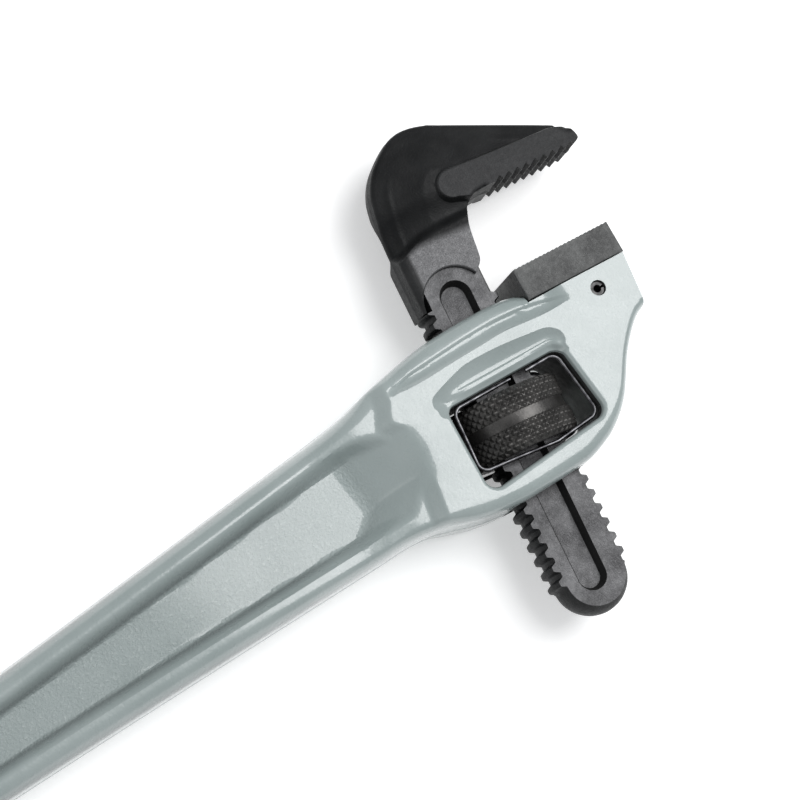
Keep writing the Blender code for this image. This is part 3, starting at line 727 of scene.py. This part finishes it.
def make_hook(steel, ground, pocket_wall_shade):
    outline = (list(map(tuple, round_curve(HOOK_THROAT, 1.0))) + HOOK_ARCH
               + list(map(tuple, round_curve(HOOK_BACK, 1.2)))
               + list(map(tuple, round_curve(HOOK_NOSE, 0.8))) + hook_teeth())
    rows = beside(split_edges(PAD_LOOP, 0.4), (-0.5, -0.17, 0.17, 0.5))
    body = plate("hook_body", outline, hook_height, JAW, [steel], 0.6,
                 (0.2, 0.5, 0.9, *np.arange(1.4, 6, 0.55)), seam=0.2, creases=rows)
    hook = shank_mesh(steel)
    boolean(hook, body, "UNION")
    loop = arc(RECESS_TOP, RECESS_TOP_RADIUS, 0, 181, 10) + arc(RECESS_LOW, RECESS_LOW_RADIUS, 180, 361, 10)
    for side in (1, -1):
        flip = Matrix.Scale(side, 4, (0, 0, 1))
        # The pocket's sides take the near-black painted shade; its floor takes the milled finish.
        tool = prism("cut", loop, SHANK_HALF - RECESS_DEPTH, SHANK_HALF + 0.6, JAW @ flip, pocket_wall_shade,
                     RECESS_TAPER)
        tool.data.materials.append(ground)
        tool.data.polygons[0].material_index = 1
        boolean(hook, tool, "DIFFERENCE")
    grind_flats(hook, hook.data.materials.find(ground.name))
    finish_shading(hook)
    stand_in(hook, "hook", "hook_jaw")


def grind_flats(hook, slot):
    """The milled flats of the shank get the ground finish."""
    mid = NUT_CENTRE.z
    for face in hook.data.polygons:
        level = abs(face.center.z - mid) / MM
        if abs(face.normal.z) > 0.99 and abs(level - SHANK_HALF) < 0.1:
            face.material_index = slot


# ---- heel jaw and pin ----------------------------------------------------------------
def make_heel(steel, pin_steel):
    pitch = 2 * HEEL_HALF_LENGTH / HEEL_TEETH
    teeth = []
    for k in reversed(range(HEEL_TEETH)):
        left = -HEEL_HALF_LENGTH + k * pitch
        teeth += [(left + pitch, HEEL_TOP - HEEL_TOOTH_DEPTH), (left + pitch - 0.35, HEEL_TOP),
                  (left + pitch - 0.6, HEEL_TOP)]
    outline = teeth + [(-HEEL_HALF_LENGTH, HEEL_TOP - HEEL_TOOTH_DEPTH),
                       (-HEEL_HALF_LENGTH, HEEL_BOTTOM), (HEEL_HALF_LENGTH, HEEL_BOTTOM)]
    sides = [outline[-3], outline[-2], outline[-1], outline[0]]

    def block_height(points):
        edge = distance(points, sides, closed=False)
        return rounded_rise(edge, HEEL_HALF - HEEL_EDGE, HEEL_HALF, 0.45)

    block = plate("heel_jaw_detail", outline, block_height, HEEL, [steel], 0.9, (0.18, 0.45))
    left, bottom, right, top = TONGUE
    tongue = box(left, right, bottom, top)

    def tongue_height(points):
        return rounded_rise(distance(points, tongue), TONGUE_HALF - 0.4, TONGUE_HALF, 0.5)

    piece = plate("tongue", tongue, tongue_height, HEEL, [steel], 1.2, (0.2, 0.5),
                  [(ring_points(PIN_PLACE, PIN_BORE, 36), 0)])
    boolean(block, piece, "UNION")
    finish_shading(block)
    stand_in(block, "handle", "heel_jaw")

    gap = radians(PIN_GAP)
    turns = [gap + (2 * pi - 2 * gap) * k / 40 for k in range(41)]
    outer = [(PIN_PLACE[0] + PIN_RADIUS * cos(a), PIN_PLACE[1] + PIN_RADIUS * sin(a)) for a in turns]
    inner = [(PIN_PLACE[0] + PIN_INNER * cos(a), PIN_PLACE[1] + PIN_INNER * sin(a))
             for a in reversed(turns)]
    pin = prism("heel_pin_detail", outer + inner, -PIN_HALF, PIN_HALF, HEEL, pin_steel)
    stand_in(pin, "handle", "heel_jaw_pin")


# ---- adjusting nut -------------------------------------------------------------------
KNURL_COUNT = 40
KNURL_LENGTH = 2.6
KNURL_DEPTH = 0.75


def triangle_wave(value):
    return np.abs(2 * (value - np.floor(value)) - 1)


def knurled_radius(along, angle):
    """Outside of the nut: two diamond-knurled bands beside a plain groove."""
    base = np.full_like(angle, NUT_RADIUS)
    shoulder = NUT_HALF - abs(along)
    if shoulder < NUT_CHAMFER:
        base -= NUT_CHAMFER - shoulder
    if abs(along) <= NUT_GROOVE_HALF:
        return base - NUT_GROOVE_DEPTH
    turn = KNURL_COUNT * angle / (2 * pi)
    first = triangle_wave(turn + along / KNURL_LENGTH)
    second = triangle_wave(turn - along / KNURL_LENGTH)
    return base - KNURL_DEPTH * (1 - np.minimum(np.minimum(first, second) * 1.25, 1))


def make_nut(steel):
    segments = 10 * KNURL_COUNT
    angle = 2 * pi * np.arange(segments) / segments
    rows = []
    band = np.arange(NUT_GROOVE_HALF + 0.15, NUT_HALF, 0.24)
    groove = np.linspace(-NUT_GROOVE_HALF, NUT_GROOVE_HALF, 12)
    outside = np.concatenate(([-NUT_HALF], -band[::-1], groove, band, [NUT_HALF]))
    for along in outside:
        rows.append((along, knurled_radius(along, angle)))
    for along in np.arange(NUT_HALF, -NUT_HALF - 0.01, -THREAD_PITCH / 10):
        rows.append((along, thread_radius(along, angle, THREAD_TIP + THREAD_PLAY,
                                          THREAD_ROOT + THREAD_PLAY)))
    verts = []
    for along, radius in rows:
        verts += list(zip(radius * np.cos(angle), np.full(segments, along), radius * np.sin(angle)))
    faces = []
    for r in range(len(rows)):
        following = (r + 1) % len(rows)
        for k in range(segments):
            j = (k + 1) % segments
            faces.append((r * segments + k, following * segments + k, following * segments + j,
                          r * segments + j))
    nut = make_object("adjusting_nut_detail", verts, faces, JAW, [steel], crease=40)
    stand_in(nut, "nut", "adjusting_nut")


# ---- wires and springs ---------------------------------------------------------------
WIRE_LEVEL = 11.0
WIRE_RADIUS = 0.6
WIRE_BEND = 3.0
WIRE_CORNERS = [(9.0, 10.9), (20.0, 10.1), (20.4, -11.9), (4.5, -12.0), (-9.0, -9.1), (-20.9, -6.8),
                (-16.9, 13.2), (3.5, 11.4)]


def make_wires_and_springs(bright, spring_steel):
    bends = rounded_polygon(WIRE_CORNERS[1:7], WIRE_BEND, 8)
    route = split_edges([WIRE_CORNERS[0]] + bends + [WIRE_CORNERS[7]], 2.0)
    stop = np.argmin(np.linalg.norm(route - np.array(WIRE_CORNERS[7]), axis=1))
    route = route[:stop + 1]
    for name, node, level in (("nut_wire_front_detail", "nut_wire_front", WIRE_LEVEL),
                              ("nut_wire_back_detail", "nut_wire_back", -WIRE_LEVEL)):
        points = np.column_stack((route, np.full(len(route), level)))
        stand_in(tube(name, points, WIRE_RADIUS, DESIGN, bright), "handle", node)

    def leaf_height(points):
        edge = distance(points, leaf)
        return rounded_rise(edge, LEAF_HALF - 0.3, LEAF_HALF, 0.3)

    leaf = box(LEAF_BACK, LEAF_BACK + LEAF_THICKNESS, *LEAF_SPAN)
    piece = plate("flat_spring_detail", leaf, leaf_height, JAW, [spring_steel], 0.4, (0.15,))
    stand_in(piece, "handle", "flat_spring")
    turn = np.linspace(0, 2 * pi * COIL_TURNS, 30 * COIL_TURNS + 1)
    coil = np.column_stack((COIL_BACK + COIL_LENGTH * turn / turn[-1],
                            COIL_AT + COIL_RADIUS * np.cos(turn), COIL_RADIUS * np.sin(turn)))
    piece = tube("coil_spring_detail", coil, COIL_WIRE, JAW, spring_steel, 10)
    stand_in(piece, "handle", "coil_spring")


# ---- materials -----------------------------------------------------------------------
class Shader:
    """A Principled material with a few helpers for adding nodes."""

    def __init__(self, name, metallic=0.0, specular=0.5, coat=0.0, coat_roughness=0.1):
        self.material = bpy.data.materials.new(name)
        self.material.use_nodes = True
        self.tree = self.material.node_tree
        self.main = self.tree.nodes["Principled BSDF"]
        self.main.inputs["Metallic"].default_value = metallic
        self.main.inputs["Specular IOR Level"].default_value = specular
        self.main.inputs["Coat Weight"].default_value = coat
        self.main.inputs["Coat Roughness"].default_value = coat_roughness
        self.place = self.tree.nodes.new("ShaderNodeTexCoord").outputs["Object"]

    def set(self, node, values):
        for key, value in values.items():
            if isinstance(value, bpy.types.NodeSocket):
                self.tree.links.new(value, node.inputs[key])
            else:
                node.inputs[key].default_value = value

    def noise(self, scale, detail=3.0, roughness=0.5):
        node = self.tree.nodes.new("ShaderNodeTexNoise")
        self.set(node, {"Vector": self.place, "Scale": scale, "Detail": detail,
                        "Roughness": roughness})
        return node.outputs["Fac"]

    def spread(self, value, low, high, out_low, out_high):
        node = self.tree.nodes.new("ShaderNodeMapRange")
        self.set(node, {"Value": value, "From Min": low, "From Max": high, "To Min": out_low,
                        "To Max": out_high})
        return node.outputs["Result"]

    def maths(self, operation, first, second):
        node = self.tree.nodes.new("ShaderNodeMath")
        node.operation = operation
        self.set(node, {0: first, 1: second})
        return node.outputs[0]

    def mix(self, factor, first, second):
        node = self.tree.nodes.new("ShaderNodeMix")
        node.data_type = "RGBA"
        self.set(node, {"Factor": factor})
        for socket, value in ((node.inputs[6], first), (node.inputs[7], second)):
            if isinstance(value, bpy.types.NodeSocket):
                self.tree.links.new(value, socket)
            else:
                socket.default_value = (*value, 1.0)
        return node.outputs[2]

    def bump(self, height, depth, strength=1.0, under=None):
        node = self.tree.nodes.new("ShaderNodeBump")
        self.set(node, {"Height": height, "Distance": depth, "Strength": strength})
        if under is not None:
            self.tree.links.new(under, node.inputs["Normal"])
        return node.outputs["Normal"]

    def from_nut(self, axis):
        """One object coordinate in metres from the nut's centre."""
        node = self.tree.nodes.new("ShaderNodeSeparateXYZ")
        self.tree.links.new(self.place, node.inputs[0])
        return self.maths("SUBTRACT", node.outputs[axis], NUT_CENTRE["XYZ".index(axis)])

    def height_above(self):
        """Distance from the middle plane of the wrench, in metres."""
        return self.maths("ABSOLUTE", self.from_nut("Z"), 0.0)

    def both(self, first, second):
        return self.maths("MULTIPLY", first, second)

    def done(self, colour, roughness, normal):
        self.set(self.main, {"Base Color": colour, "Roughness": roughness, "Normal": normal})
        return self.material


def enamel():
    """Grey-green enamel sprayed over a sand casting; the sand shows most on the far web, and painted shade
    darkens the lower flange walls along the far handle.
    """
    make = Shader("grey_enamel_sprayed", coat=1.0, coat_roughness=0.1)
    cloud = make.noise(45, 2)
    grain = make.noise(1100, 4, 0.6)
    height = make.height_above()
    far = make.spread(make.from_nut("X"), -0.085, -0.05, 1.0, 0.0)
    web = make.both(make.spread(height, 0.0045, 0.0075, 1.0, 0.0), make.spread(far, 0, 1, 0.4, 1.0))
    # Mask for painted shade on the lower flange walls, from the web's edge up towards the crest.
    flange_wall_shade = make.both(make.spread(height, 0.0042, 0.0052, 0.0, 1.0),
                     make.spread(height, 0.006, 0.009, 1.0, 0.0))
    colour = make.mix(make.spread(cloud, 0.35, 0.65, 0, 1), (0.29, 0.34, 0.335), (0.33, 0.38, 0.375))
    colour = make.mix(make.both(make.spread(grain, 0.58, 0.7, 0, 0.55), web), colour,
                      (0.5, 0.55, 0.54))
    # Painted shade: the lower flange walls of the far handle are darkened.
    colour = make.mix(make.both(make.both(flange_wall_shade, far), 0.75), colour, (0.12, 0.14, 0.14))
    roughness = make.spread(make.noise(260, 3), 0.3, 0.7, 0.24, 0.34)
    soft = make.bump(make.noise(170, 3), 0.0009, 0.25)
    sand = make.both(grain, make.spread(web, 0, 1, 0.12, 1.0))
    return make.done(colour, roughness, make.bump(sand, 0.0013, 0.6, soft))


def window_shade():
    """Painted shade for the inner walls of the window and the cut slots; a painted patch of light lightens
    the head end's inner side deep down.
    """
    make = Shader("painted_shade_inner_wall")
    # Painted shade: near-black inner walls.
    colour = make.mix(make.spread(make.noise(180, 4), 0.4, 0.65, 0, 1), (0.02, 0.021, 0.021),
                      (0.05, 0.053, 0.051))
    # Painted light: a paler patch low on the head end's inner side of the window, where light reaches in.
    painted_light_patch = make.both(make.spread(make.from_nut("X"), 0.018, 0.02, 0, 1),
                          make.spread(make.from_nut("Y"), -0.004, 0.001, 1, 0))
    painted_light_patch = make.both(painted_light_patch, make.spread(make.from_nut("Z"), 0.004, 0.011, 1, 0))
    colour = make.mix(painted_light_patch, colour, (0.18, 0.2, 0.195))
    return make.done(colour, make.spread(make.noise(400, 2), 0.3, 0.7, 0.55, 0.75),
                     make.bump(make.noise(900, 4), 0.0003, 0.5))


def hook_steel():
    """Forged black steel; the top faces of the neck and the jaw pad are paler, partly a worn, ground finish
    and partly a painted sheen of the overhead light.
    """
    make = Shader("forged_black_steel", specular=0.15)
    height = make.height_above()
    along = make.maths("ADD", make.both(make.from_nut("X"), -NUT_AXIS[0]),
                       make.both(make.from_nut("Y"), -NUT_AXIS[1]))
    neck = make.both(make.spread(along, 0.059, 0.0615, 1, 0), make.spread(height, 0.0067, 0.0074, 0, 1))
    across = make.maths("ADD", make.both(make.from_nut("X"), -NUT_AXIS[1]),
                        make.both(make.from_nut("Y"), NUT_AXIS[0]))
    neck = make.both(neck, make.spread(across, -0.0098, -0.0086, 0.1, 1))
    # Painted sheen: the flat top of the jaw pad is paler because it faces the overhead light.
    pad = make.both(make.spread(height, 0.0089, 0.0094, 0, 1), 0.2)
    # Worn grain on the neck together with painted sheen on its top faces.
    worn_and_sheen = make.maths("MAXIMUM", neck, pad)
    speck = make.spread(make.noise(2400, 5, 0.7), 0.35, 0.7, 0.45, 1)
    colour = make.mix(make.spread(make.noise(120, 4), 0.35, 0.68, 0, 1), (0.007, 0.0075, 0.008),
                      (0.015, 0.0155, 0.016))
    colour = make.mix(make.both(worn_and_sheen, speck), colour, (0.17, 0.17, 0.175))
    make.set(make.main, {"Metallic": make.both(worn_and_sheen, 0.5)})
    rough = make.spread(make.noise(700, 3), 0.3, 0.7, 0.4, 0.54)
    forged = make.bump(make.noise(240, 3), 0.0006, 0.3)
    return make.done(colour, rough, make.bump(make.noise(1700, 4, 0.6), 0.0002, 0.6, forged))


def black_steel(name, dark, light, roughness, grain_depth, metallic):
    make = Shader(name, metallic=metallic)
    cloud = make.spread(make.noise(120, 4), 0.35, 0.68, 0, 1)
    speck = make.spread(make.noise(2600, 3, 0.65), 0.45, 0.75, 0, 1)
    colour = make.mix(make.both(cloud, 0.6), dark, light)
    colour = make.mix(make.both(speck, 0.5), colour, light)
    rough = make.spread(make.noise(700, 3), 0.3, 0.7, roughness - 0.06, roughness + 0.08)
    forged = make.bump(make.noise(240, 3), 0.0006, 0.3)
    return make.done(colour, rough, make.bump(make.noise(2200, 4, 0.6), grain_depth, 0.6, forged))


def drawn_wire(name, dark, light, roughness):
    make = Shader(name, metallic=1.0)
    colour = make.mix(make.spread(make.noise(500, 3), 0.35, 0.7, 0, 1), light, dark)
    rough = make.spread(make.noise(900, 2), 0.3, 0.7, roughness, roughness + 0.14)
    return make.done(colour, rough, make.bump(make.noise(2600, 2), 0.00005, 0.5))


# ---- stage ---------------------------------------------------------------------------
VIEW_TILT = radians(18.0)        # camera's lean from straight above
VIEW_LEAN = radians(193.127)     # direction it leans to, about Z from the handle
VIEW_ROLL = radians(228.0)       # where that direction points in the picture
VIEW_DISTANCE = 0.8
VIEW_TARGET = (-24.9, 25.56, 0.0)
LENS = 120.0
SOFTBOX_AT = (690, 50, 1300)     # lights: places in the design frame, sizes in metres
SOFTBOX_SIZE = (0.95, 1.1)
SOFTBOX_RADIANCE = 5.2
FILL_AT = (-900, 150, 500)
FILL_SIZE = (0.6, 0.6)
FILL_RADIANCE = 1.0
SKY_COLOUR = (0.96, 0.98, 1.0, 1.0)
SKY_STRENGTH = 0.42
FLOOR_GLOW = 0.35


def area_light(name, place, target, size, radiance):
    data = bpy.data.lights.new(name, "AREA")
    data.shape = "RECTANGLE"
    data.size, data.size_y = size
    data.energy = radiance * pi * size[0] * size[1]
    light = bpy.data.objects.new(name, data)
    light.location = place
    light.rotation_euler = (Vector(target) - Vector(place)).to_track_quat("-Z", "Y").to_euler()
    bpy.context.scene.collection.objects.link(light)


def set_stage():
    back = Vector((sin(VIEW_TILT) * cos(VIEW_LEAN), sin(VIEW_TILT) * sin(VIEW_LEAN), cos(VIEW_TILT)))
    lean = Vector((cos(VIEW_TILT) * cos(VIEW_LEAN), cos(VIEW_TILT) * sin(VIEW_LEAN), -sin(VIEW_TILT)))
    side = Vector((-sin(VIEW_LEAN), cos(VIEW_LEAN), 0))
    right = cos(VIEW_ROLL) * lean - sin(VIEW_ROLL) * side
    up = sin(VIEW_ROLL) * lean + cos(VIEW_ROLL) * side
    target = DESIGN @ Vector(VIEW_TARGET)
    data = bpy.data.cameras.new("camera")
    data.lens = LENS
    camera = bpy.data.objects.new("camera", data)
    turn = Matrix((right, up, back)).transposed().to_4x4()
    camera.matrix_world = Matrix.Translation(target + VIEW_DISTANCE * back) @ turn
    bpy.context.scene.collection.objects.link(camera)
    bpy.context.scene.camera = camera

    floor_look = Shader("pale_floor")
    floor_look.done(floor_look.mix(floor_look.noise(3, 2), (0.93, 0.93, 0.93), (0.95, 0.95, 0.95)),
                    0.9, floor_look.bump(floor_look.noise(900, 2), 0.0001, 0.1))
    bpy.ops.mesh.primitive_plane_add(size=8, location=(0, 0, -0.0002))
    floor = bpy.context.object
    floor.name = "floor"
    floor.data.materials.append(floor_look.material)
    floor_look.main.inputs["Emission Color"].default_value = (1, 1, 1, 1)
    floor_look.main.inputs["Emission Strength"].default_value = FLOOR_GLOW

    world = bpy.data.worlds.new("studio")
    world.use_nodes = True
    world.node_tree.nodes["Background"].inputs["Color"].default_value = SKY_COLOUR
    world.node_tree.nodes["Background"].inputs["Strength"].default_value = SKY_STRENGTH
    bpy.context.scene.world = world
    bpy.context.scene.view_settings.view_transform = "Standard"
    head = tuple(DESIGN @ Vector((0, 0, 0)))
    area_light("overhead_softbox", DESIGN @ Vector(SOFTBOX_AT), head, SOFTBOX_SIZE, SOFTBOX_RADIANCE)
    area_light("handle_side_fill", DESIGN @ Vector(FILL_AT), head, FILL_SIZE, FILL_RADIANCE)


def main():
    steel = hook_steel()
    # Near-black painted shade for the sides of the shank's long pockets.
    pocket_wall_shade = black_steel("pocket_wall_painted_shade", (0.004, 0.004, 0.004), (0.012, 0.012, 0.012), 0.6,
                         0.0002, 0.1)
    ground = black_steel("milled_black_steel", (0.04, 0.04, 0.042), (0.16, 0.16, 0.165), 0.42, 0.0002, 0.5)
    heel_steel = black_steel("heel_black_steel", (0.036, 0.037, 0.037), (0.105, 0.108, 0.107), 0.45,
                             0.0002, 0.4)
    nut_steel = black_steel("knurled_black_steel", (0.032, 0.031, 0.03), (0.13, 0.125, 0.12), 0.36,
                            0.0001, 0.6)
    make_casting(enamel(), window_shade())
    make_hook(steel, ground, pocket_wall_shade)
    make_heel(heel_steel, drawn_wire("spring_pin_dark", (0.03, 0.03, 0.03), (0.09, 0.09, 0.09), 0.35))
    make_nut(nut_steel)
    make_wires_and_springs(drawn_wire("bright_wire_steel", (0.05, 0.05, 0.055), (0.2, 0.2, 0.21), 0.3),
                           drawn_wire("oiled_spring_steel", (0.1, 0.1, 0.11), (0.3, 0.3, 0.32), 0.35))
    set_stage()
    bpy.context.view_layer.update()


main()
